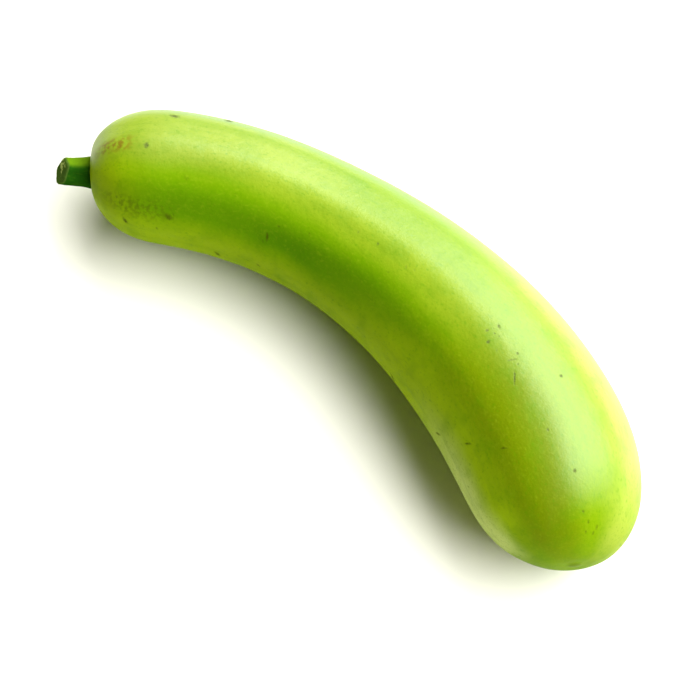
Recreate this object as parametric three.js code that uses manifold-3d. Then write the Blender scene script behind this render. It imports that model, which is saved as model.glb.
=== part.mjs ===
// A bottle gourd lying on its side: a long bent fruit, slim at its neck and fuller at its blossom end,
// with the short cut piece of its stem. Millimetres, +Z up. The stem end is at -X, the blossom end at +X
// and the back of the bend at +Y. The origin is at the middle of the underside.

import * as THREE from "three";
import { mergeVertices } from "three/addons/utils/BufferGeometryUtils.js";
import Module from "manifold-3d";

const wasm = await Module();
wasm.setup();

// Middle line of the fruit in plan: a cubic curve from the stem's pole to the blossom's pole
const MIDDLE_LINE = [[-162.09, -43.65], [-52.6, 58.95], [108.22, 17.71], [167.2, -42.26]];

// Thickness of the fruit, and where along it, from 0 to 1, the neck swells into the belly
const NECK_RADIUS = 36;
const BELLY_RADIUS = 44.2;
const SWELL_START = 0.32;
const SWELL_END = 0.81;

// Rounding of the two ends: how far it reaches from the pole, and how blunt it is
const SHOULDER_REACH = 48;
const SHOULDER_POWER = 2.55;
const CROWN_REACH = 73.7;
const CROWN_POWER = 3.2;

// The blossom end hangs a little below the line of the rest
const DROOP = 6;
const DROOP_START = 0.82;

// Hollow that the stem stands in
const STEM_HOLLOW_DEPTH = 4.2;
const STEM_HOLLOW_RADIUS = 10;

// Dimple at the blossom's pole, with the low round scar of the flower in it
const SCAR_DIMPLE_DEPTH = 1.4;
const SCAR_DIMPLE_RADIUS = 7;
const SCAR_HEIGHT = 0.8;
const SCAR_RADIUS = 3;
const SCAR_EDGE_POWER = 4;

// Low lengthwise ribs, clearest on the neck, one of them along the underside
const RIB_COUNT = 10;
const RIB_HEIGHT = 0.35;
const BELLY_RIB_SHARE = 0.35;
const UNDERSIDE_ANGLE = -Math.PI / 2;

// The section is slightly oval, and its long way turns along the fruit, in radians
const OVAL_HEIGHT = 0.3;
const OVAL_START = 2.17;
const OVAL_TURN = 2.4;

// The underside is pressed flat by this much where the fruit lies, and a block of ground does it
const REST_FLAT = 0.5;
const GROUND_SIZE = [600, 300, 40];

// Stem: distances run out from the fruit's pole, so its foot inside the socket has a negative one
const STEM_OUTLINE = [
  [0, -5.7], [8.7, -5.7], [8.7, -2.6], [8.45, -0.5], [7.95, 1.6], [7.6, 4], [7.35, 7.5],
  [7.1, 11], [6.95, 12.5], [6.5, 13.25], [5.6, 13.6], [4.2, 13.6], [2.2, 13.2], [0, 12.9],
];
const STEM_RIDGES = 5;
const STEM_RIDGE_TURN = THREE.MathUtils.degToRad(27);
const STEM_RIDGE_HEIGHT = 0.55;
const STEM_RIDGE_START = -2.6;
const STEM_RIDGE_FULL = 5;
const STEM_RISE = 2.2;
const STEM_REACH = 13.6;

// Its end is cut aslant, so that the top and, a little, the side at the hollow of the bend are shorter
const STEM_CUT_RISE = Math.tan(THREE.MathUtils.degToRad(32));
const STEM_CUT_TURN = -Math.tan(THREE.MathUtils.degToRad(5));
const STEM_CUT_START = 3;

// Socket that the stem's foot sits in, with its gap all round
const SOCKET_GAP = 0.3;
const FOOT_RADIUS = 8.7;
const FOOT_DEPTH = 5.7;

// Fineness of the surfaces
const FRUIT_RINGS = 66;
const FRUIT_SIDES = 60;
const POLE_CROWDING = 2.5;
const STEM_SIDES = 40;
const MERGE_DISTANCE = 0.0005;

const line = new THREE.CubicBezierCurve(...MIDDLE_LINE.map(([x, y]) => new THREE.Vector2(x, y)));
line.arcLengthDivisions = 1000;
const LENGTH = line.getLength();

const { lerp, smoothstep } = THREE.MathUtils;

// Radius of the fruit before its ends close, at a share of its length
function bodyRadius(share) {
  return lerp(NECK_RADIUS, BELLY_RADIUS, smoothstep(share, SWELL_START, SWELL_END));
}

// How far an end has opened, from 0 at its pole to 1
function opening(distance, reach, power) {
  return Math.sqrt(1 - Math.max(1 - distance / reach, 0) ** power);
}

function middleHeight(share) {
  return bodyRadius(share) - DROOP * smoothstep(share, DROOP_START, 1) - REST_FLAT;
}

// The place of a point at a distance along the middle line, to its left and above it
function place(along, left, up) {
  const share = THREE.MathUtils.clamp(along / LENGTH, 0, 1);
  const tangent = line.getTangentAt(share);
  const point = line.getPointAt(share).addScaledVector(tangent, along - share * LENGTH);
  return [point.x - tangent.y * left, point.y + tangent.x * left, middleHeight(share) + up];
}

// One point of the fruit's outline, with both poles' hollows pressed in
function outlinePoint(share) {
  const distance = share * LENGTH;
  const radius = bodyRadius(share)
    * opening(distance, SHOULDER_REACH, SHOULDER_POWER)
    * opening(LENGTH - distance, CROWN_REACH, CROWN_POWER);
  if (share < 0.5) {
    const hollow = STEM_HOLLOW_DEPTH * Math.exp(-((radius / STEM_HOLLOW_RADIUS) ** 2));
    return new THREE.Vector2(radius, distance + hollow);
  }
  const dimple = SCAR_DIMPLE_DEPTH * Math.exp(-((radius / SCAR_DIMPLE_RADIUS) ** 2));
  const scar = SCAR_HEIGHT * Math.exp(-((radius / SCAR_RADIUS) ** SCAR_EDGE_POWER));
  return new THREE.Vector2(radius, distance - dimple + scar);
}

// How far the ribs and the oval section lift the skin at an angle round the fruit
function relief(share, angle) {
  const ribShare = lerp(1, BELLY_RIB_SHARE, smoothstep(share, SWELL_START, SWELL_END));
  const ribs = RIB_HEIGHT * ribShare * Math.cos(RIB_COUNT * (angle - UNDERSIDE_ANGLE));
  const oval = OVAL_HEIGHT * Math.cos(2 * (angle - OVAL_START - OVAL_TURN * share));
  return (ribs + oval) / bodyRadius(share);
}

// A turned shape whose every point is moved by a rule that takes its distance along, radius and angle
function shapeTurned(outline, sides, rule) {
  const geometry = new THREE.LatheGeometry(outline, sides);
  const position = geometry.attributes.position;
  for (let i = 0; i < position.count; i++) {
    const radius = Math.hypot(position.getX(i), position.getZ(i));
    const angle = Math.atan2(position.getX(i), position.getZ(i));
    position.setXYZ(i, ...rule(position.getY(i), radius, angle));
  }
  return geometry;
}

function toSolid(geometry) {
  geometry.deleteAttribute("normal");
  geometry.deleteAttribute("uv");
  const merged = mergeVertices(geometry, MERGE_DISTANCE);
  const corners = merged.index.array;
  const kept = [];
  for (let i = 0; i < corners.length; i += 3) {
    const [a, b, c] = corners.slice(i, i + 3);
    if (a !== b && b !== c && c !== a) kept.push(a, b, c);
  }
  return new wasm.Manifold(new wasm.Mesh({
    numProp: 3,
    vertProperties: new Float32Array(merged.attributes.position.array),
    triVerts: new Uint32Array(kept),
  }));
}

function toMesh(solid, name, material) {
  const { vertProperties, triVerts } = solid.getMesh();
  const geometry = new THREE.BufferGeometry();
  geometry.setAttribute("position", new THREE.BufferAttribute(vertProperties, 3));
  geometry.setIndex(new THREE.BufferAttribute(triVerts, 1));
  geometry.computeVertexNormals();
  const mesh = new THREE.Mesh(geometry, material);
  mesh.name = name;
  return mesh;
}

function fruitBody() {
  const outline = [];
  for (let i = 0; i <= FRUIT_RINGS; i++) {
    const near = (i / FRUIT_RINGS) ** POLE_CROWDING;
    const far = (1 - i / FRUIT_RINGS) ** POLE_CROWDING;
    outline.push(outlinePoint(near / (near + far)));
  }
  outline[0].x = 0;
  outline[FRUIT_RINGS].x = 0;
  return toSolid(shapeTurned(outline, FRUIT_SIDES, (along, radius, angle) => {
    const lifted = radius * (1 + relief(along / LENGTH, angle));
    return place(along, lifted * Math.cos(angle), lifted * Math.sin(angle));
  }));
}

// The ground, as a block that takes off what would be below it
function ground() {
  const block = new THREE.BoxGeometry(...GROUND_SIZE);
  block.translate(0, 0, -GROUND_SIZE[2] / 2);
  return toSolid(block);
}

function stemSocket() {
  const radius = FOOT_RADIUS + SOCKET_GAP;
  const floor = FOOT_DEPTH + SOCKET_GAP;
  const outline = [[0, -STEM_REACH], [radius, -STEM_REACH], [radius, floor], [0, floor]];
  return toSolid(shapeTurned(outline.map(([x, y]) => new THREE.Vector2(x, y)), STEM_SIDES, socketPlace));
}

function socketPlace(along, radius, angle) {
  const tangent = line.getTangentAt(0);
  const start = line.getPointAt(0);
  const left = radius * Math.cos(angle);
  return [
    start.x + tangent.x * along - tangent.y * left,
    start.y + tangent.y * along + tangent.x * left,
    middleHeight(0) + radius * Math.sin(angle),
  ];
}

// The stem is turned about its own line, ridged, bent upwards and cut aslant
function stemBody() {
  const points = STEM_OUTLINE.map(([radius, out]) => new THREE.Vector2(radius, -out)).reverse();
  return toSolid(shapeTurned(points, STEM_SIDES, (along, radius, angle) => {
    const out = -along;
    const ridge = STEM_RIDGE_HEIGHT * smoothstep(out, STEM_RIDGE_START, STEM_RIDGE_FULL);
    const wave = Math.cos(STEM_RIDGES * (angle - STEM_RIDGE_TURN));
    const ridged = radius + ridge * wave * Math.min(radius / FOOT_RADIUS, 1);
    const slope = STEM_CUT_RISE * Math.sin(angle) + STEM_CUT_TURN * Math.cos(angle);
    const slant = slope * ridged * smoothstep(out, STEM_CUT_START, STEM_REACH);
    const [x, y, z] = socketPlace(along + slant, ridged, angle);
    return [x, y, z + STEM_RISE * (Math.max(out, 0) / STEM_REACH) ** 2];
  }));
}

const skin = new THREE.MeshStandardMaterial({ color: 0x9cc534, roughness: 0.42, metalness: 0 });
const stalk = new THREE.MeshStandardMaterial({ color: 0x2f5a14, roughness: 0.75, metalness: 0 });

const gourd = new THREE.Group();
gourd.add(toMesh(fruitBody().subtract(ground()).subtract(stemSocket()), "fruit", skin));
gourd.add(toMesh(stemBody(), "stem", stalk));

export default gourd;
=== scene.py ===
"""A bottle gourd lying on its side: a long bent fruit with a waxy lime-green rind, and the short cut piece
of its ridged stem. Metres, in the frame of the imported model: the stem end is at -X, the back of the bend
at +Y, and the gourd lies on z = 0."""

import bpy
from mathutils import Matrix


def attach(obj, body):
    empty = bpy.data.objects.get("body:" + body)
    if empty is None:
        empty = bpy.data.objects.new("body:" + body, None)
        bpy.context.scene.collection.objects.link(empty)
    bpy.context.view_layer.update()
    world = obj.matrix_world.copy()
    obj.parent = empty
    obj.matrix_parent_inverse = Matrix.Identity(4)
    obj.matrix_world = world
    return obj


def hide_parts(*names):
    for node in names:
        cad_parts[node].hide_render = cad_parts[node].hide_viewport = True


bl_info = {
    "name": "Bottle gourd",
    "version": (1, 0, 0),
    "blender": (4, 5, 0),
    "location": "3D View > Sidebar > Gourd",
    "description": "Models a long bent bottle gourd and the cut piece of its stem",
    "category": "Add Mesh",
}

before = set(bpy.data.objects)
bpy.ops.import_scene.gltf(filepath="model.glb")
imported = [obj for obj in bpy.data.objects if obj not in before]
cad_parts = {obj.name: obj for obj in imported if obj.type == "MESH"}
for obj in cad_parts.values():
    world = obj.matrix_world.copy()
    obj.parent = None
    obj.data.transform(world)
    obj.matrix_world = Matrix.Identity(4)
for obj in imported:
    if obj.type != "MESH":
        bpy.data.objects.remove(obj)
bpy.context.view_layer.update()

import math
import random

import bpy
import numpy as np
from mathutils import Matrix, Vector

MM = 0.001

# Middle line of the fruit in plan: a cubic curve from the stem's pole to the blossom's pole
MIDDLE_LINE = np.array([[-162.09, -43.65], [-52.6, 58.95], [108.22, 17.71], [167.2, -42.26]]) * MM

# Where along the fruit, from 0 to 1, the neck swells into the belly
SWELL_START = 0.32
SWELL_END = 0.81

# Rounding of the two ends: how far it reaches from the pole, and how blunt it is
SHOULDER_REACH = 48 * MM
SHOULDER_POWER = 2.55
CROWN_REACH = 73.7 * MM
CROWN_POWER = 3.2

# The blossom end hangs a little below the line of the rest
DROOP = 6 * MM
DROOP_START = 0.82

# Hollow that the stem stands in
STEM_HOLLOW_DEPTH = 4.2 * MM
STEM_HOLLOW_RADIUS = 10 * MM

# Dimple at the blossom's pole, with the low round scar of the flower in it
SCAR_DIMPLE_DEPTH = 1.4 * MM
SCAR_DIMPLE_RADIUS = 7 * MM
SCAR_HEIGHT = 0.8 * MM
SCAR_RADIUS = 3 * MM
SCAR_EDGE_POWER = 4

# Low lengthwise ribs, one of them along the underside
RIB_COUNT = 10
BELLY_RIB_SHARE = 0.35
UNDERSIDE_ANGLE = -math.pi / 2

# The section is slightly oval, and its long way turns along the fruit, in radians
OVAL_HEIGHT = 0.3 * MM
OVAL_START = 2.17
OVAL_TURN = 2.4

# The underside is pressed flat by this much where the fruit lies
REST_FLAT = 0.5 * MM

# Socket that the stem's foot sits in
FOOT_RADIUS = 8.7 * MM
FOOT_DEPTH = 5.7 * MM
SOCKET_GAP = 0.3 * MM

# The rings of its soft edges lie this far in from its wall and its floor. The rings of its lip are given by
# how far outside the wall and below the skin they lie, and the skin starts at least this far outside the wall
SOCKET_EDGE = 0.4 * MM
LIP_RINGS = [(0, 0.5 * MM), (0.05 * MM, 0.12 * MM), (0.3 * MM, -0.02 * MM)]
LIP_ROOM = 1.2 * MM

# Stem: radius, and distance out from the fruit's pole, from its foot in the socket to its cut end
STEM_OUTLINE = [
    (8.7, -5.7), (8.7, -5.2), (8.7, -2.6), (8.45, -0.5), (7.95, 1.6), (7.6, 4), (7.35, 7.5), (7.15, 10.5),
    (7.05, 12), (6.95, 12.7), (6.7, 13.15), (6.2, 13.45), (5.4, 13.55), (4.4, 13.45), (3.2, 13.3), (1.6, 13),
]
STEM_RIDGES = 5
STEM_RIDGE_TURN = math.radians(27)
STEM_RIDGE_HEIGHT = 0.55 * MM
STEM_RIDGE_START = -2.6 * MM
STEM_RIDGE_FULL = 5 * MM
STEM_RISE = 2.2 * MM
STEM_REACH = 13.6 * MM

# Its end is cut aslant, so that the top and, a little, the side at the hollow of the bend are shorter
STEM_CUT_RISE = math.tan(math.radians(32))
STEM_CUT_TURN = -math.tan(math.radians(5))
STEM_CUT_START = 3 * MM

# Marks on the rind that the picture shows, by the place of their middle: how far along the fruit in mm,
# the angle round it in degrees from its back over its top, their length and width in mm, the turn of their
# length from the fruit's own in degrees, and their strength
MARKS = [
    (45.7, 57, 6.4, 4.2, 10, 1), (43, 63, 2.6, 1.8, 40, 0.33), (69.3, 37, 11.5, 5, 82, 1),
    (62, 49, 4.9, 2.3, 20, 0.28), (36.3, 94.5, 4.6, 3.8, 60, 0.85), (106, 60, 3.7, 2.3, 70, 0.28),
    (162, 37, 8.3, 2, 65, 0.33), (61, 116.5, 6, 4.6, 30, 0.33), (90, 119, 3.7, 2.3, 70, 0.22),
    (53.7, 152.5, 6.5, 4, 15, 1), (56.2, 149, 4.2, 1.5, 50, 0.55), (49.5, 151.5, 5.4, 1.5, -15, 0.39),
    (25.8, 166.5, 6.4, 3.6, 65, 1), (46.1, 166.5, 3.3, 2.3, 65, 0.66), (29, 160, 2.6, 2, 0, 0.44),
    (84, 186.5, 6.5, 4, 55, 0.85), (99, 176, 4.9, 2.8, 35, 0.39), (105, 177, 3.7, 2.8, 10, 0.33),
    (112, 178, 5.4, 3.6, 30, 0.5), (96, 165, 3.1, 2, 60, 0.28), (114.9, 142.5, 6.5, 2.3, 78, 0.94),
    (113, 147.5, 3.1, 1.5, 60, 0.5), (119.6, 129.5, 2.8, 1.8, 20, 0.55), (137.6, 123.5, 3.7, 2.8, 40, 0.39),
    (160.3, 102.5, 4.2, 2.3, 60, 0.44), (172.8, 102, 3.7, 2.3, 60, 0.44), (187.2, 114, 3.7, 2.8, 0, 0.28),
    (193, 103, 3.7, 1.8, 50, 0.33), (197.8, 101, 3.1, 2, 40, 0.33), (222.5, 187, 9.5, 3.1, 62, 1),
    (247.6, 95, 2.5, 2.1, 90, 0.85), (252.8, 99, 2.8, 2.2, 60, 0.85), (249.4, 87.5, 4.4, 1.8, 20, 0.88),
    (251, 92.5, 1.7, 1.4, 0, 0.55), (253.5, 91.5, 1.4, 1.2, 0, 0.5), (248.8, 91, 1.3, 1.1, 0, 0.44),
    (259, 98, 2.1, 1.5, 40, 0.39), (265.8, 88.5, 2.4, 1.9, 60, 0.61), (267.4, 93.5, 7.2, 1.5, -68, 0.61),
    (270.5, 92, 3.1, 1.2, 60, 0.5), (275.8, 98.5, 9, 1.3, 30, 0.94), (284.5, 72, 2.4, 2.2, 0, 0.94),
    (292.5, 84, 3.7, 3.3, 0, 0.28), (306.1, 95.5, 4.2, 2.3, 50, 0.44), (271.3, 172, 7.7, 2.2, -45, 0.94),
    (290.5, 148, 6, 1.9, -52, 0.83), (288, 153, 3.3, 1.6, -10, 0.55), (304.8, 125, 5.1, 1.4, -62, 0.77),
    (301, 118, 1.7, 1.5, 0, 0.33), (327.3, 88, 2.5, 2.3, 0, 0.88), (344, 86, 2.3, 1.9, 0, 0.55),
    (347.9, 81.5, 2.4, 1.9, 30, 0.66), (350, 72.5, 2.6, 2, 0, 0.66), (351.4, 83.5, 2, 1.6, 0, 0.5),
    (352, 75, 2.3, 1.8, 0, 0.55), (351.4, 181, 4.2, 2, 40, 0.44),
]

# Marks of the same kinds scattered over the sides that the picture doesn't show, in the same units, with
# their length as a multiple of their width
HIDDEN_MARKS = 26
HIDDEN_SEED = 11
HIDDEN_ANGLES = (200, 385)
HIDDEN_ALONG = (25, 340)
HIDDEN_WIDTHS = (0.9, 2.2)
HIDDEN_STRETCHES = (1.2, 1.6, 2.4, 4.5)
HIDDEN_SLANTS = (-80, 80)
HIDDEN_STRENGTHS = (0.3, 0.85)

# A mark reaches from its middle by this share of its greater size and a margin. Marks share a layer only
# where there is this much room between their reaches. Past its reach a mark sinks by 1 for each edge width
MARK_REACH = 0.58
MARK_MARGIN = 2 * MM
MARK_ROOM = 4.5 * MM
MARK_EDGE = 0.3 * MM

# A mark shows in full down to the first depth and not at all from the second. Its edge wanders by up to this
# share of its size, in a noise of this scale
MARK_CLEAR = 0.3
MARK_GONE = 1.15
MARK_WANDER = 0.45
MARK_WANDER_SCALE = 900

# Soft patches of the rind, some of them painted light and shade, in the order that they are laid on: the
# colour, where the patch rises and falls along the fruit in mm, where it rises and falls round it in degrees
# from its top towards the hollow of the bend, and its strength
RIND_ZONES = [
    # Painted light: a yellower, paler green on the back of the belly and the top of the neck, where the key
    # light falls
    ("rind_lit_painted", (190, 250), (400, 450), (-150, -90), (-46, -16), 1),
    ("rind_lit_painted", (-5, 20), (95, 170), (-48, -30), (0, 24), 0.75),
    # Painted highlight: a paler band along the top, below the key light's own highlight, that widens it
    ("rind_pale", (60, 110), (230, 300), (-12, 2), (16, 32), 0.85),
    # The rind's own deeper green, and painted shade: the flank of the neck that faces the hollow of the bend,
    # away from the key light, made darker
    ("rind_deep", (0, 60), (170, 270), (10, 44), (58, 100), 1),
    ("rind_deep", (30, 60), (150, 210), (-66, -52), (-48, -36), 0.55),
    ("rind_deep", (30, 60), (135, 165), (-38, -31), (-28, -20), 0.25),
    ("rind_dark", (100, 120), (134, 158), (36, 48), (54, 68), 0.45),
    # Painted shade: olive green darkening the flank of the belly that faces away from the key light
    ("rind_olive_shade", (205, 285), (400, 450), (-14, 14), (36, 62), 0.9),
    # Painted light: the lower flank of the belly made paler, standing in for light bounced up from the floor
    ("rind_bounce_painted", (150, 240), (335, 352), (36, 66), (150, 180), 0.85),
]

# Gloss that is left where the wax is rubbed off
RUBBED_GLOSS = 0.01

# Fineness of the meshes before they are subdivided
FRUIT_RINGS = 62
FRUIT_SIDES = 60
POLE_CROWDING = 2.5
FRUIT_LEVELS = 2
STEM_SIDES = 40
STEM_LEVELS = 2
MERGE_DISTANCE = 0.001 * MM

# Steps that the middle line is measured in, and steps of the curve that the fruit is bent to
LINE_STEPS = 2000
CURVE_STEPS = 256

# The camera looks down on the gourd from the hollow side of its bend
CAMERA_AZIMUTH = math.radians(41.59)
CAMERA_ELEVATION = math.radians(66)
CAMERA_DISTANCE = 0.85
CAMERA_TARGET = Vector((0.0001, -0.0155, -0.0023))
IMAGE_PIXELS = 700
PIXEL_AT_TARGET = 0.5325 * MM
SENSOR_WIDTH = 36
CLIP_START = 0.05
CLIP_END = 20

# Where the soft light stands: its bearing from the picture's right and its height, in degrees, and how far
# away in metres
KEY_BEARING = 17
KEY_ELEVATION = 54
KEY_DISTANCE = 1.3

# The floor, and the light that comes from all round
FLOOR_SIZE = 30
FLOOR_COLOUR = (0.86, 0.85, 0.76, 1)
SURROUND_COLOUR = (1, 0.97, 0.5, 1)


def smooth(start, end, value):
    """A soft step from 0 to 1, as value goes from start to end."""
    share = np.clip((value - start) / (end - start), 0, 1)
    return share * share * (3 - 2 * share)


def line_length():
    """Length of the middle line, by many short steps."""
    t = np.linspace(0, 1, LINE_STEPS)[:, None]
    a, b, c, d = MIDDLE_LINE
    points = (1 - t) ** 3 * a + 3 * (1 - t) ** 2 * t * b + 3 * (1 - t) * t * t * c + t ** 3 * d
    steps = np.linalg.norm(np.diff(points, axis=0), axis=1)
    return float(np.cumsum(steps)[-1])


LENGTH = line_length()


def length_setting(name, description, default):
    return bpy.props.FloatProperty(name=name, description=description, default=default, unit="LENGTH")


def colour_setting(name, description, default):
    return bpy.props.FloatVectorProperty(
        name=name, description=description, default=default, subtype="COLOR")


class GourdShape(bpy.types.PropertyGroup):
    """Sizes of the gourd that a user would change."""

    neck_radius: length_setting("Neck radius", "Radius of the slim stem end", 36 * MM)
    belly_radius: length_setting("Belly radius", "Radius of the full blossom end", 44.2 * MM)
    rib_height: length_setting("Rib height", "Height of the lengthwise ribs on the neck", 0.35 * MM)
    unevenness: length_setting("Unevenness", "Height of the soft swells all over the rind", 0.5 * MM)


class GourdColours(bpy.types.PropertyGroup):
    """Colours of the rind and the stem."""

    rind: colour_setting("Rind", "Lime green of most of the rind", (0.158, 0.268, 0.0012))
    # Its grain is the rind's own paler green; its band along the top is a painted highlight
    rind_pale: colour_setting("Pale rind", "Paler grain, and a painted highlight along the top", (0.222, 0.325, 0.008))
    # Its streaks and patches are the rind's own; over the flank of the neck it is also painted shade
    rind_deep: colour_setting("Deep rind", "Darker green streaks and patches", (0.094, 0.222, 0.0008))
    rind_dark: colour_setting(
        "Dark rind", "Darkest green, in a patch on the flank of the neck", (0.05, 0.165, 0.001))
    # Painted shade: this darker olive stands in for shade on the belly's flank
    rind_olive_shade: colour_setting("Olive rind", "Olive green painted as shade on the flank of the belly", (0.135, 0.195, 0.001))
    # Painted light: this yellower green stands in for the key light on the side that faces it
    rind_lit_painted: colour_setting("Painted-light rind", "Yellower green painted where the key light falls", (0.255, 0.335, 0.032))
    # Painted light: a paler green standing in for light bounced up from the floor, and for the light on the
    # stem end
    rind_bounce_painted: colour_setting(
        "Painted bounce light", "Paler green painted where light bounces up from the floor", (0.33, 0.48, 0.003))
    # Painted reflection: a grey-green paleness standing in for the floor's reflection low on the blossom end
    rind_reflection_painted: colour_setting("Painted reflection", "Grey-green painted reflection of the floor low on the blossom end", (0.55, 0.65, 0.20))
    bruise: colour_setting("Marks", "Dark olive of scratches and spots", (0.06, 0.085, 0.002))
    russet: colour_setting("Russet", "Dry brown of a rubbed patch", (0.20, 0.12, 0.004))
    stalk: colour_setting("Stem", "Dark green of the stem", (0.013, 0.076, 0.003))
    # Partly the stem's own paler green and partly painted light on its upper facet
    stalk_pale_and_lit: colour_setting("Pale stem", "Lighter green of the stem's upper facet", (0.112, 0.222, 0.005))
    stalk_cut: colour_setting("Cut end", "Dried dark green of the cut end", (0.075, 0.14, 0.02))
    fibre: colour_setting("Cut fibres", "Pale fibres of the cut end", (0.48, 0.60, 0.16))


class StudioLight(bpy.types.PropertyGroup):
    """The soft light that the gourd is seen in."""

    key_power: bpy.props.FloatProperty(
        name="Key power", description="Power of the wide soft light", default=107.0, unit="POWER")
    key_width: length_setting("Key width", "Width of the soft light, level with the floor", 3.4)
    key_height: length_setting("Key height", "Height of the soft light", 1.3)
    sky: bpy.props.FloatProperty(
        name="Surround", description="Brightness of the warm surround", default=0.08)


class Value:
    """A number that changes over a surface, so that shader maths reads as Python."""

    def __init__(self, finish, socket):
        self.finish = finish
        self.socket = socket

    def __add__(self, other):
        return self.finish.maths("ADD", self, other)

    def __radd__(self, other):
        return self.finish.maths("ADD", other, self)

    def __sub__(self, other):
        return self.finish.maths("SUBTRACT", self, other)

    def __rsub__(self, other):
        return self.finish.maths("SUBTRACT", other, self)

    def __mul__(self, other):
        return self.finish.maths("MULTIPLY", self, other)

    def __rmul__(self, other):
        return self.finish.maths("MULTIPLY", other, self)


class Finish:
    """A material and its Principled shader, with the nodes that drive them."""

    def __init__(self, name, constants=None):
        self.material = bpy.data.materials.new(name)
        self.material.use_nodes = True
        self.tree = self.material.node_tree
        self.shader = self.tree.nodes["Principled BSDF"]
        for socket, value in (constants or {}).items():
            self.shader.inputs[socket].default_value = value

    def node(self, kind, settings=None, inputs=None, output=0):
        """Adds a node: its settings first, then the values or links of its sockets."""
        made = self.tree.nodes.new(kind)
        for name, value in (settings or {}).items():
            setattr(made, name, value)
        for name, value in (inputs or {}).items():
            if isinstance(value, Value):
                self.tree.links.new(value.socket, made.inputs[name])
            else:
                made.inputs[name].default_value = value
        return Value(self, made.outputs[output])

    def maths(self, operation, first, second):
        return self.node("ShaderNodeMath", {"operation": operation}, {0: first, 1: second})

    def vector_maths(self, operation, *given, output=0):
        return self.node("ShaderNodeVectorMath", {"operation": operation}, dict(enumerate(given)), output)

    def attribute(self, name):
        return self.node("ShaderNodeAttribute", {"attribute_name": name}, output="Vector")

    def scaled(self, vector, x, y, z):
        """The vector, stretched along each axis."""
        return self.vector_maths("MULTIPLY", vector, (x, y, z))

    def moved(self, vector, by):
        return self.vector_maths("ADD", vector, by)

    def length(self, vector):
        return self.vector_maths("LENGTH", vector, output="Value")

    def spread(self, vector, scale, reach):
        """A vector that wanders softly by up to reach either way."""
        # The colour of a noise is three noises at once, each round 0.5
        wander = self.noise(vector, scale, 2, output="Color")
        return self.vector_maths("MULTIPLY_ADD", wander, (2 * reach,) * 3, (-reach,) * 3)

    def angle(self, rise, run):
        """The angle whose tangent is rise over run, all the way round."""
        return self.maths("ARCTAN2", rise, run)

    def larger(self, first, second):
        return self.maths("MAXIMUM", first, second)

    def parts(self, vector):
        """The x, y and z of a vector."""
        split = self.node("ShaderNodeSeparateXYZ", inputs={0: vector}).socket.node
        return [Value(self, split.outputs[i]) for i in range(3)]

    def noise(self, vector, scale, detail, output=0):
        return self.node("ShaderNodeTexNoise", {"noise_dimensions": "3D"},
                         {"Vector": vector, "Scale": scale, "Detail": detail}, output)

    def cells(self, vector, scale):
        """Distance to the nearest of many scattered points."""
        return self.node("ShaderNodeTexVoronoi", {"feature": "F1"}, {"Vector": vector, "Scale": scale},
                         output="Distance")

    def step(self, value, start, end, low=0.0, high=1.0):
        """A soft step from low to high, as value goes from start to end."""
        return self.node("ShaderNodeMapRange", {"interpolation_type": "SMOOTHSTEP", "clamp": False},
                         {"Value": value, "From Min": start, "From Max": end, "To Min": low, "To Max": high})

    def fall(self, value, start, end):
        """A soft step from 1 to 0, as value goes from start to end."""
        return self.step(value, start, end, low=1.0, high=0.0)

    def mixed(self, first, second, share):
        """One colour turned towards another by a share."""
        # A Mix node's colour sockets share their names with its number sockets, so they go by their place
        first, second = (colour if isinstance(colour, Value) else (*colour, 1) for colour in (first, second))
        return self.node("ShaderNodeMix", {"data_type": "RGBA"}, {0: share, 6: first, 7: second}, output=2)

    def drive(self, socket, value):
        self.tree.links.new(value.socket, self.shader.inputs[socket])

    def dulled(self, share, specular):
        """Where share is 1, the surface has only this much gloss, from a second shader that is mixed in."""
        dull = self.node("ShaderNodeBsdfPrincipled")
        sockets = dull.socket.node.inputs
        for given, taken in zip(self.shader.inputs, sockets):
            if given.is_linked:
                self.tree.links.new(given.links[0].from_socket, taken)
            else:
                taken.default_value = given.default_value
        sockets["Specular IOR Level"].default_value = specular
        glossy = Value(self, self.shader.outputs[0])
        both = self.node("ShaderNodeMixShader", inputs={0: share, 1: glossy, 2: dull})
        self.tree.links.new(both.socket, self.tree.nodes["Material Output"].inputs["Surface"])

    def bump(self, height, distance, strength):
        """Raises the surface by a height of 0 to 1 times distance, in the shading only."""
        self.drive("Normal", self.node("ShaderNodeBump", inputs={
            "Height": height, "Distance": distance, "Strength": strength}))


def body_radius(shape, share):
    swell = smooth(SWELL_START, SWELL_END, share)
    return shape.neck_radius + (shape.belly_radius - shape.neck_radius) * swell


def middle_height(shape, share):
    return body_radius(shape, share) - DROOP * smooth(DROOP_START, 1, share) - REST_FLAT


def opening(distance, reach, power):
    """How far an end has opened, from 0 at its pole to 1."""
    return np.sqrt(1 - np.maximum(1 - distance / reach, 0) ** power)


def outline_point(shape, share):
    """Radius and place along of one point of the fruit's outline, with the poles' hollows pressed in."""
    distance = share * LENGTH
    radius = (body_radius(shape, share)
              * opening(distance, SHOULDER_REACH, SHOULDER_POWER)
              * opening(LENGTH - distance, CROWN_REACH, CROWN_POWER))
    if share < 0.5:
        return radius, distance + STEM_HOLLOW_DEPTH * math.exp(-((radius / STEM_HOLLOW_RADIUS) ** 2))
    dimple = SCAR_DIMPLE_DEPTH * math.exp(-((radius / SCAR_DIMPLE_RADIUS) ** 2))
    scar = SCAR_HEIGHT * math.exp(-((radius / SCAR_RADIUS) ** SCAR_EDGE_POWER))
    return radius, distance - dimple + scar


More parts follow.
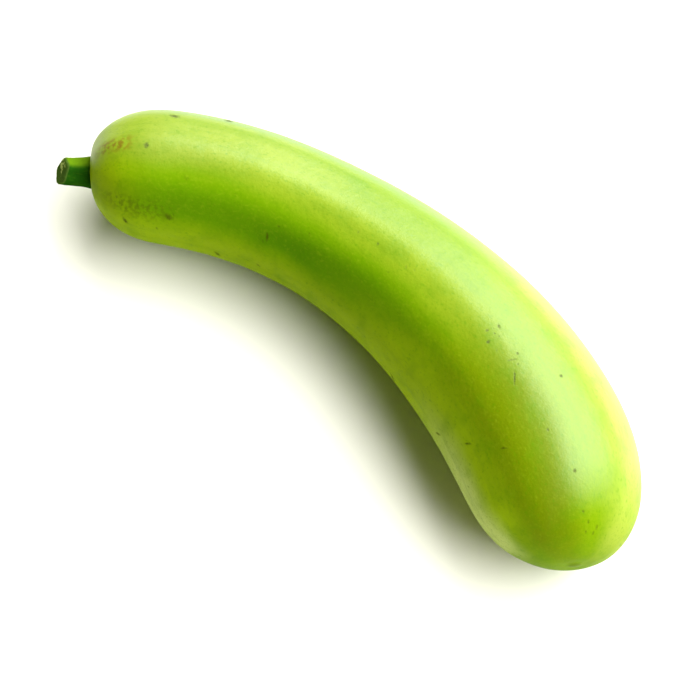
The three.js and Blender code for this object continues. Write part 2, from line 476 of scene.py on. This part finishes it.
def relief(shape, share, angle):
    """How far the ribs and the oval section lift the skin, as a share of the radius."""
    rib_share = 1 + (BELLY_RIB_SHARE - 1) * smooth(SWELL_START, SWELL_END, share)
    ribs = shape.rib_height * rib_share * np.cos(RIB_COUNT * (angle - UNDERSIDE_ANGLE))
    oval = OVAL_HEIGHT * np.cos(2 * (angle - OVAL_START - OVAL_TURN * share))
    return (ribs + oval) / body_radius(shape, share)


def deselect_all():
    if bpy.context.object and bpy.context.object.mode != "OBJECT":
        bpy.ops.object.mode_set(mode="OBJECT")
    bpy.ops.object.select_all(action="DESELECT")


def select_only(piece):
    deselect_all()
    bpy.context.view_layer.objects.active = piece
    piece.select_set(True)


def ringed_body(name, rings, sides):
    """A closed body along X, extruded ring by ring from a disc. Each ring is a radius and a place along."""
    deselect_all()
    (radius, along), rest = rings[0], rings[1:]
    bpy.ops.mesh.primitive_circle_add(vertices=sides, radius=radius, fill_type="TRIFAN",
                                      location=(along, 0, 0), rotation=(0, math.pi / 2, 0))
    piece = bpy.context.object
    piece.name = name
    piece.data.name = name
    bpy.ops.object.transform_apply(location=True, rotation=True, scale=True)
    bpy.ops.object.mode_set(mode="EDIT")
    bpy.ops.mesh.select_mode(type="FACE")
    bpy.ops.mesh.select_all(action="SELECT")
    for next_radius, next_along in rest:
        bpy.ops.mesh.extrude_region_move(TRANSFORM_OT_translate={"value": (next_along - along, 0, 0)})
        size = next_radius / radius
        bpy.ops.transform.resize(value=(1, size, size), center_override=(next_along, 0, 0))
        radius, along = next_radius, next_along
    bpy.ops.mesh.select_all(action="SELECT")
    bpy.ops.mesh.remove_doubles(threshold=MERGE_DISTANCE)
    bpy.ops.mesh.normals_make_consistent(inside=False)
    bpy.ops.object.mode_set(mode="OBJECT")
    return piece


def apply_modifier(piece, kind, **settings):
    modifier = piece.modifiers.new(kind.title(), kind)
    for name, value in settings.items():
        setattr(modifier, name, value)
    select_only(piece)
    bpy.ops.object.modifier_apply(modifier=modifier.name)


def subdivide(piece, levels):
    apply_modifier(piece, "SUBSURF", levels=levels, render_levels=levels)


def roughen(piece, name, size, depth, height):
    """Moves the skin in and out by cloud noise, over this height from its lowest to its highest."""
    texture = bpy.data.textures.new(name, "CLOUDS")
    texture.noise_scale = size
    texture.noise_depth = depth
    texture.noise_basis = "BLENDER_ORIGINAL"
    apply_modifier(piece, "DISPLACE", texture=texture, mid_level=0.5, strength=height, texture_coords="LOCAL")


def places(piece):
    found = np.empty(len(piece.data.vertices) * 3)
    piece.data.vertices.foreach_get("co", found)
    return found.reshape(-1, 3)


def move_to(piece, points):
    piece.data.vertices.foreach_set("co", points.astype(np.float32).ravel())
    piece.data.update()


def keep_vectors(piece, name, vectors):
    """Keeps a vector for every point in an attribute, so that a pattern follows the piece as it is bent."""
    attribute = piece.data.attributes.new(name, "FLOAT_VECTOR", "POINT")
    attribute.data.foreach_set("vector", vectors.astype(np.float32).ravel())


def finish_piece(piece, finish, node):
    """Smooth shading, one material, the body that the piece belongs to, and the imported part of its node
    hidden.
    """
    select_only(piece)
    bpy.ops.object.shade_smooth()
    piece.data.materials.clear()
    piece.data.materials.append(finish.material)
    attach(piece, "root")
    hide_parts(node)


def middle_curve():
    """The middle line as a curve that a body along X is bent to."""
    deselect_all()
    bpy.ops.curve.primitive_bezier_curve_add()
    curve = bpy.context.object
    curve.data.twist_mode = "Z_UP"
    curve.data.resolution_u = CURVE_STEPS
    first, last = curve.data.splines[0].bezier_points
    a, b, c, d = MIDDLE_LINE
    for point, before, place, after in ((first, 2 * a - b, a, b), (last, c, d, 2 * d - c)):
        point.handle_left_type = "FREE"
        point.handle_right_type = "FREE"
        point.co = (*place, 0)
        point.handle_left = (*before, 0)
        point.handle_right = (*after, 0)
    return curve


def fruit_rings(shape):
    """The socket for the stem's foot, and then the skin from the socket's lip to the blossom's pole."""
    wall = FOOT_RADIUS + SOCKET_GAP
    floor = FOOT_DEPTH + SOCKET_GAP
    skin = []
    for i in range(1, FRUIT_RINGS):
        near = (i / FRUIT_RINGS) ** POLE_CROWDING
        far = (1 - i / FRUIT_RINGS) ** POLE_CROWDING
        share = near / (near + far)
        radius, along = outline_point(shape, share)
        if radius > wall + LIP_ROOM or share > 0.5:
            skin.append((radius, along))
    lip_share = 1 - (1 - (wall / shape.neck_radius) ** 2) ** (1 / SHOULDER_POWER)
    lip = outline_point(shape, lip_share * SHOULDER_REACH / LENGTH)[1]
    socket = [(wall - SOCKET_EDGE, floor), (wall, floor), (wall, floor - SOCKET_EDGE)]
    socket += [(wall + outside, lip + below) for outside, below in LIP_RINGS]
    return socket + skin


class GOURD_OT_fruit(bpy.types.Operator):
    """Model the fruit: a ringed body, ribbed, bent to its middle line and pressed flat where it lies"""

    bl_idname = "gourd.fruit"
    bl_label = "Fruit"

    def execute(self, context):
        shape = context.scene.gourd_shape
        fruit = ringed_body("fruit_rind", fruit_rings(shape), FRUIT_SIDES)
        subdivide(fruit, FRUIT_LEVELS)
        keep_vectors(fruit, "grown", places(fruit))
        mark_layers = keep_marks(fruit, shape)
        points = places(fruit)
        share = points[:, 0] / LENGTH
        angle = np.arctan2(points[:, 2], points[:, 1])
        in_socket = np.hypot(points[:, 1], points[:, 2]) < FOOT_RADIUS + 2 * SOCKET_GAP
        at_stem = in_socket & (share < 0.5)
        points[:, 1:] *= 1 + np.where(at_stem, 0, relief(shape, share, angle))[:, None]
        points[:, 2] += middle_height(shape, share)
        move_to(fruit, points)
        roughen(fruit, "rind_swells", size=35 * MM, depth=1, height=shape.unevenness)
        curve = middle_curve()
        apply_modifier(fruit, "CURVE", object=curve, deform_axis="POS_X")
        bpy.data.objects.remove(curve)
        points = places(fruit)
        points[:, 2] = np.maximum(points[:, 2], 0)
        move_to(fruit, points)
        finish_piece(fruit, rind_finish(context.scene.gourd_colours, mark_layers), "fruit")
        return {"FINISHED"}


class GOURD_OT_stem(bpy.types.Operator):
    """Model the stem: a ridged stub with a flared foot, bent upwards, with its end cut aslant"""

    bl_idname = "gourd.stem"
    bl_label = "Stem"

    def execute(self, context):
        shape = context.scene.gourd_shape
        rings = [(radius * MM, out * MM) for radius, out in STEM_OUTLINE]
        stem = ringed_body("stem_stub", rings, STEM_SIDES)
        subdivide(stem, STEM_LEVELS)
        points = places(stem)
        out = points[:, 0].copy()
        radius = np.hypot(points[:, 1], points[:, 2])
        angle = np.arctan2(points[:, 2], -points[:, 1])
        ridge = STEM_RIDGE_HEIGHT * smooth(STEM_RIDGE_START, STEM_RIDGE_FULL, out)
        ridge = ridge * np.cos(STEM_RIDGES * (angle - STEM_RIDGE_TURN))
        ridged = radius + ridge * np.minimum(radius / FOOT_RADIUS, 1)
        points[:, 1] = -ridged * np.cos(angle)
        points[:, 2] = ridged * np.sin(angle)
        move_to(stem, points)
        keep_vectors(stem, "grown", places(stem))
        slope = STEM_CUT_RISE * np.sin(angle) + STEM_CUT_TURN * np.cos(angle)
        points[:, 0] -= slope * ridged * smooth(STEM_CUT_START, STEM_REACH, out)
        points[:, 2] += STEM_RISE * (np.maximum(out, 0) / STEM_REACH) ** 2
        move_to(stem, points)
        roughen(stem, "stem_grain", size=1.2 * MM, depth=2, height=0.35 * MM)
        start, away = MIDDLE_LINE[0], MIDDLE_LINE[0] - MIDDLE_LINE[1]
        height = float(middle_height(shape, 0.0))
        stem.matrix_world = (Matrix.Translation((start[0], start[1], height))
                             @ Matrix.Rotation(math.atan2(away[1], away[0]), 4, "Z"))
        select_only(stem)
        bpy.ops.object.transform_apply(location=True, rotation=True, scale=True)
        finish_piece(stem, stalk_finish(context.scene.gourd_colours), "stem")
        return {"FINISHED"}


def all_marks():
    """The marks that the picture shows, and a few like them on the hidden sides."""
    chance = random.Random(HIDDEN_SEED)
    hidden = []
    for _ in range(HIDDEN_MARKS):
        width = chance.uniform(*HIDDEN_WIDTHS)
        along = chance.uniform(*HIDDEN_ALONG)
        angle = chance.uniform(*HIDDEN_ANGLES)
        length = width * chance.choice(HIDDEN_STRETCHES)
        slant = chance.uniform(*HIDDEN_SLANTS)
        strength = chance.uniform(*HIDDEN_STRENGTHS)
        hidden.append((along, angle, length, width, slant, strength))
    return MARKS + hidden


class MarkLayer:
    """Marks that lie apart, and the place of each point of the skin in the mark nearest to it: along its
    length and across it, both 1 at its rim, and how deep the mark lies there. Faint marks lie deeper, and
    far from its mark a point is too deep to show it."""

    def __init__(self, points):
        self.points = points
        self.marks = []
        self.outside = np.full(len(points), np.inf)
        self.place = np.zeros((len(points), 3))

    def has_room(self, middle, reach):
        return all(np.linalg.norm(middle - other) > reach + other_reach + MARK_ROOM
                   for other, other_reach in self.marks)

    def add(self, middle, reach, lengthways, crossways, strength):
        self.marks.append((middle, reach))
        away = self.points - middle
        outside = np.linalg.norm(away, axis=1) - reach
        nearer = outside < self.outside
        deep = MARK_CLEAR + (MARK_GONE - MARK_CLEAR) * (1 - strength)
        deep = deep + np.maximum(outside, 0) / MARK_EDGE
        place = np.stack([away @ lengthways, away @ crossways, deep], axis=1)
        self.outside[nearer] = outside[nearer]
        self.place[nearer] = place[nearer]


def keep_marks(piece, shape):
    """Works out the layers of marks, keeps each as an attribute and returns the attributes' names."""
    layers = []
    for along, angle, length, width, slant, strength in all_marks():
        radius = outline_point(shape, along * MM / LENGTH)[0]
        around = math.radians(angle)
        round_fruit = Matrix.Rotation(around + math.pi / 2, 3, "X")
        turn = np.array(round_fruit @ Matrix.Rotation(math.radians(slant), 3, "Z"))
        middle = np.array([along * MM, radius * math.cos(around), radius * math.sin(around)])
        reach = max(length, width) * MARK_REACH * MM + MARK_MARGIN
        layer = next((layer for layer in layers if layer.has_room(middle, reach)), None)
        if layer is None:
            layer = MarkLayer(places(piece))
            layers.append(layer)
        layer.add(middle, reach, turn[:, 0] / (length / 2 * MM), turn[:, 1] / (width / 2 * MM), strength)
    names = [f"marks_{i + 1}" for i in range(len(layers))]
    for name, layer in zip(names, layers):
        keep_vectors(piece, name, layer.place)
    return names


def mark_mask(finish, layers):
    """Where the rind is marked, from 0 to 1: each mark is a small soft oval with a rough edge."""
    rough = finish.spread(finish.attribute("grown"), MARK_WANDER_SCALE, MARK_WANDER)
    mask = None
    for name in layers:
        place = finish.moved(finish.attribute(name), rough)
        mark = finish.fall(finish.length(place), MARK_CLEAR, MARK_GONE)
        mask = mark if mask is None else finish.larger(mask, mark)
    return mask


def rind_finish(colours, mark_layers):
    """Waxy rind: lime green with soft patches of other greens, fine grain and marks, and painted light and
    shade: a yellower lit side, a painted highlight along the top, painted shade on the flanks, paler green
    for light bounced up from the floor and a painted reflection low on the blossom end. The wax is rubbed off
    on the hollow side, underneath and at the blossom end, where the rind is dull."""
    finish = Finish("waxy_rind")
    grown = finish.attribute("grown")
    along, across, up = finish.parts(finish.moved(grown, finish.spread(grown, 28, 4 * MM)))
    turn = finish.angle(0 - across, up)

    def lay(share, name):
        """Lays a colour of the rind over what is there, by a share."""
        nonlocal colour
        colour = finish.mixed(colour, getattr(colours, name), share)

    def band(rise, fall):
        """A soft band across the fruit: where it rises and falls along it, in mm."""
        return finish.step(along, rise[0] * MM, rise[1] * MM) * finish.fall(along, fall[0] * MM, fall[1] * MM)

    def stripe(rise, fall):
        """A soft stripe along the fruit: where it rises and falls round it from its top, in degrees."""
        return (finish.step(turn, math.radians(rise[0]), math.radians(rise[1]))
                * finish.fall(turn, math.radians(fall[0]), math.radians(fall[1])))

    colour = colours.rind
    for name, rise, fall, near, far, strength in RIND_ZONES:
        lay(band(rise, fall) * stripe(near, far) * strength, name)
    # Painted light: the underside and lower sides made paler, standing in for light bounced up from the floor
    underneath = 1 - stripe((-105, -68), (54, 80))
    lay(underneath * finish.fall(along, 320 * MM, 350 * MM) * 0.65, "rind_bounce_painted")
    # Painted reflection: grey-green low on the hollow side of the belly, standing in for the floor's
    # reflection
    lay(band((235, 315), (342, 358)) * stripe((60, 84), (140, 180)) * 0.8, "rind_reflection_painted")
    # Painted light: the stem end made paler all round, standing in for the light that falls on it
    lay(finish.fall(along, 8 * MM, 40 * MM) * 0.75, "rind_bounce_painted")
    lay(finish.step(along, 350 * MM, 363 * MM) * 0.9, "rind")

    blotches = finish.step(finish.noise(grown, 75, 3), 0.46, 0.72)
    streaks = finish.step(finish.noise(finish.scaled(grown, 30, 230, 230), 1, 3), 0.48, 0.75)
    grain = finish.noise(finish.scaled(grown, 500, 760, 760), 1, 3)
    lay(blotches * 0.3, "rind_deep")
    lay(streaks * 0.25, "rind_deep")
    lay(finish.step(grain, 0.48, 0.85) * 0.4, "rind_pale")
    lay(finish.fall(grain, 0.2, 0.48) * 0.6, "rind_deep")

    broken = finish.step(finish.noise(grown, 430, 4), 0.40, 0.62)
    lay(band((8, 25), (45, 64)) * stripe((42, 54), (60, 74)) * broken * 0.5, "bruise")
    lay(band((4, 14), (22, 33)) * stripe((-10, 0), (6, 14)) * broken * 0.8, "russet")
    from_pole = finish.length(finish.scaled(grown, 0, 1, 1))
    scar = finish.step(along, LENGTH / 2, LENGTH) * finish.fall(from_pole, 2.4 * MM, 3.6 * MM)
    lay(scar * 0.35, "bruise")
    marks = mark_mask(finish, mark_layers)
    lay(marks * (0.8 + 0.2 * broken), "bruise")
    finish.drive("Base Color", colour)
    finish.drive("Roughness", 0.36 + 0.1 * grain + 0.3 * marks)

    pores = finish.noise(grown, 900, 2)
    swells = finish.noise(grown, 260, 3)
    waves = finish.noise(grown, 80, 2)
    finish.bump(swells + 0.5 * pores + 2 * waves - 0.35 * marks, 0.2 * MM, 0.7)
    rubbed = 1 - stripe((-120, -80), (0, 30))
    finish.dulled(finish.larger(rubbed, finish.step(along, 322 * MM, 350 * MM)), RUBBED_GLOSS)
    return finish


def stalk_finish(colours):
    """Dark green stalk, paler on its upper facet, partly its own paler green and partly painted light, with
    pale fibres in its rough cut end.
    """
    finish = Finish("ridged_stalk", {"Roughness": 0.55, "Specular IOR Level": 0})
    grown = finish.attribute("grown")
    out, across, up = finish.parts(grown)
    turn = finish.angle(up, 0 - across)
    # The upper facet is paler: partly its own lighter green, partly painted light where the light falls on it
    facet = (finish.step(turn, math.radians(10), math.radians(40))
             * finish.fall(turn, math.radians(80), math.radians(108)))
    grain = finish.noise(finish.scaled(grown, 180, 1100, 1100), 1, 3)
    pale = facet * 0.9 + finish.step(grain, 0.5, 0.8) * 0.15
    colour = finish.mixed(colours.stalk, colours.stalk_pale_and_lit, pale)
    end = finish.step(out, 12.2 * MM, 12.8 * MM)
    fibres = finish.fall(finish.cells(finish.scaled(grown, 0, 750, 750), 1), 0.15, 0.5)
    from_tear = finish.scaled(finish.moved(grown, (0, 2.6 * MM, -2.4 * MM)), 0, 1, 1)
    torn = finish.fall(finish.length(from_tear), 1.5 * MM, 5 * MM)
    showing = finish.step(finish.noise(grown, 420, 2) + 0.3 * torn, 0.64, 0.8)
    colour = finish.mixed(colour, colours.stalk_cut, end * 0.85)
    colour = finish.mixed(colour, colours.fibre, end * showing)
    finish.drive("Base Color", colour)
    finish.bump(grain - 0.6 * end * fibres, 0.3 * MM, 0.6)
    return finish


class GOURD_OT_studio(bpy.types.Operator):
    """Set the pale floor, the soft light and the camera"""

    bl_idname = "gourd.studio"
    bl_label = "Studio"

    def execute(self, context):
        light = context.scene.gourd_light
        self.add_floor()
        self.add_key(light)
        self.set_surround(context.scene, light)
        self.add_camera(context.scene)
        context.scene.view_settings.view_transform = "Standard"
        return {"FINISHED"}

    @staticmethod
    def add_floor():
        deselect_all()
        bpy.ops.mesh.primitive_plane_add(size=FLOOR_SIZE, location=(0, 0, 0))
        floor = bpy.context.object
        floor.name = "floor"
        finish = Finish("pale_floor", {"Base Color": FLOOR_COLOUR, "Roughness": 0.7})
        floor.data.materials.append(finish.material)

    @staticmethod
    def add_key(light):
        toward = ground_direction(KEY_BEARING, KEY_ELEVATION)
        bpy.ops.object.light_add(type="AREA", location=toward * KEY_DISTANCE)
        key = bpy.context.object
        key.name = "key"
        key.data.energy = light.key_power
        key.data.shape = "RECTANGLE"
        key.data.size = light.key_width
        key.data.size_y = light.key_height
        key.rotation_euler = toward.to_track_quat("Z", "Y").to_euler()

    @staticmethod
    def set_surround(scene, light):
        world = bpy.data.worlds.new("warm_surround")
        world.use_nodes = True
        background = world.node_tree.nodes["Background"]
        background.inputs["Color"].default_value = SURROUND_COLOUR
        background.inputs["Strength"].default_value = light.sky
        scene.world = world

    @staticmethod
    def add_camera(scene):
        flat = math.cos(CAMERA_ELEVATION)
        back = Vector((math.sin(CAMERA_AZIMUTH) * flat, -math.cos(CAMERA_AZIMUTH) * flat,
                       math.sin(CAMERA_ELEVATION)))
        bpy.ops.object.camera_add(location=CAMERA_TARGET + back * CAMERA_DISTANCE)
        camera = bpy.context.object
        camera.name = "camera"
        camera.rotation_euler = back.to_track_quat("Z", "Y").to_euler()
        camera.data.sensor_width = SENSOR_WIDTH
        camera.data.lens = SENSOR_WIDTH * CAMERA_DISTANCE / (IMAGE_PIXELS * PIXEL_AT_TARGET)
        camera.data.clip_start = CLIP_START
        camera.data.clip_end = CLIP_END
        scene.camera = camera


def ground_direction(bearing, elevation):
    """A direction given in degrees: bearing turns from the picture's right away from the camera."""
    turn = CAMERA_AZIMUTH + math.radians(bearing)
    rise = math.radians(elevation)
    return Vector((math.cos(turn) * math.cos(rise), math.sin(turn) * math.cos(rise), math.sin(rise)))


class GOURD_PT_panel(bpy.types.Panel):
    """Lists the sizes, the colours and the steps that build the gourd"""

    bl_label = "Bottle gourd"
    bl_space_type = "VIEW_3D"
    bl_region_type = "UI"
    bl_category = "Gourd"

    def draw(self, context):
        scene = context.scene
        for group in (scene.gourd_shape, scene.gourd_colours, scene.gourd_light):
            for name in group.__annotations__:
                self.layout.prop(group, name)
        for step in STEPS:
            self.layout.operator(step.bl_idname)


STEPS = (GOURD_OT_studio, GOURD_OT_fruit, GOURD_OT_stem)
GROUPS = {"gourd_shape": GourdShape, "gourd_colours": GourdColours, "gourd_light": StudioLight}


def register():
    for name, group in GROUPS.items():
        bpy.utils.register_class(group)
        setattr(bpy.types.Scene, name, bpy.props.PointerProperty(type=group))
    for step in (*STEPS, GOURD_PT_panel):
        bpy.utils.register_class(step)


def unregister():
    for step in (GOURD_PT_panel, *reversed(STEPS)):
        bpy.utils.unregister_class(step)
    for name, group in GROUPS.items():
        delattr(bpy.types.Scene, name)
        bpy.utils.unregister_class(group)


def main():
    register()
    bpy.ops.gourd.studio()
    bpy.ops.gourd.fruit()
    bpy.ops.gourd.stem()


if __name__ == "__main__":
    main()
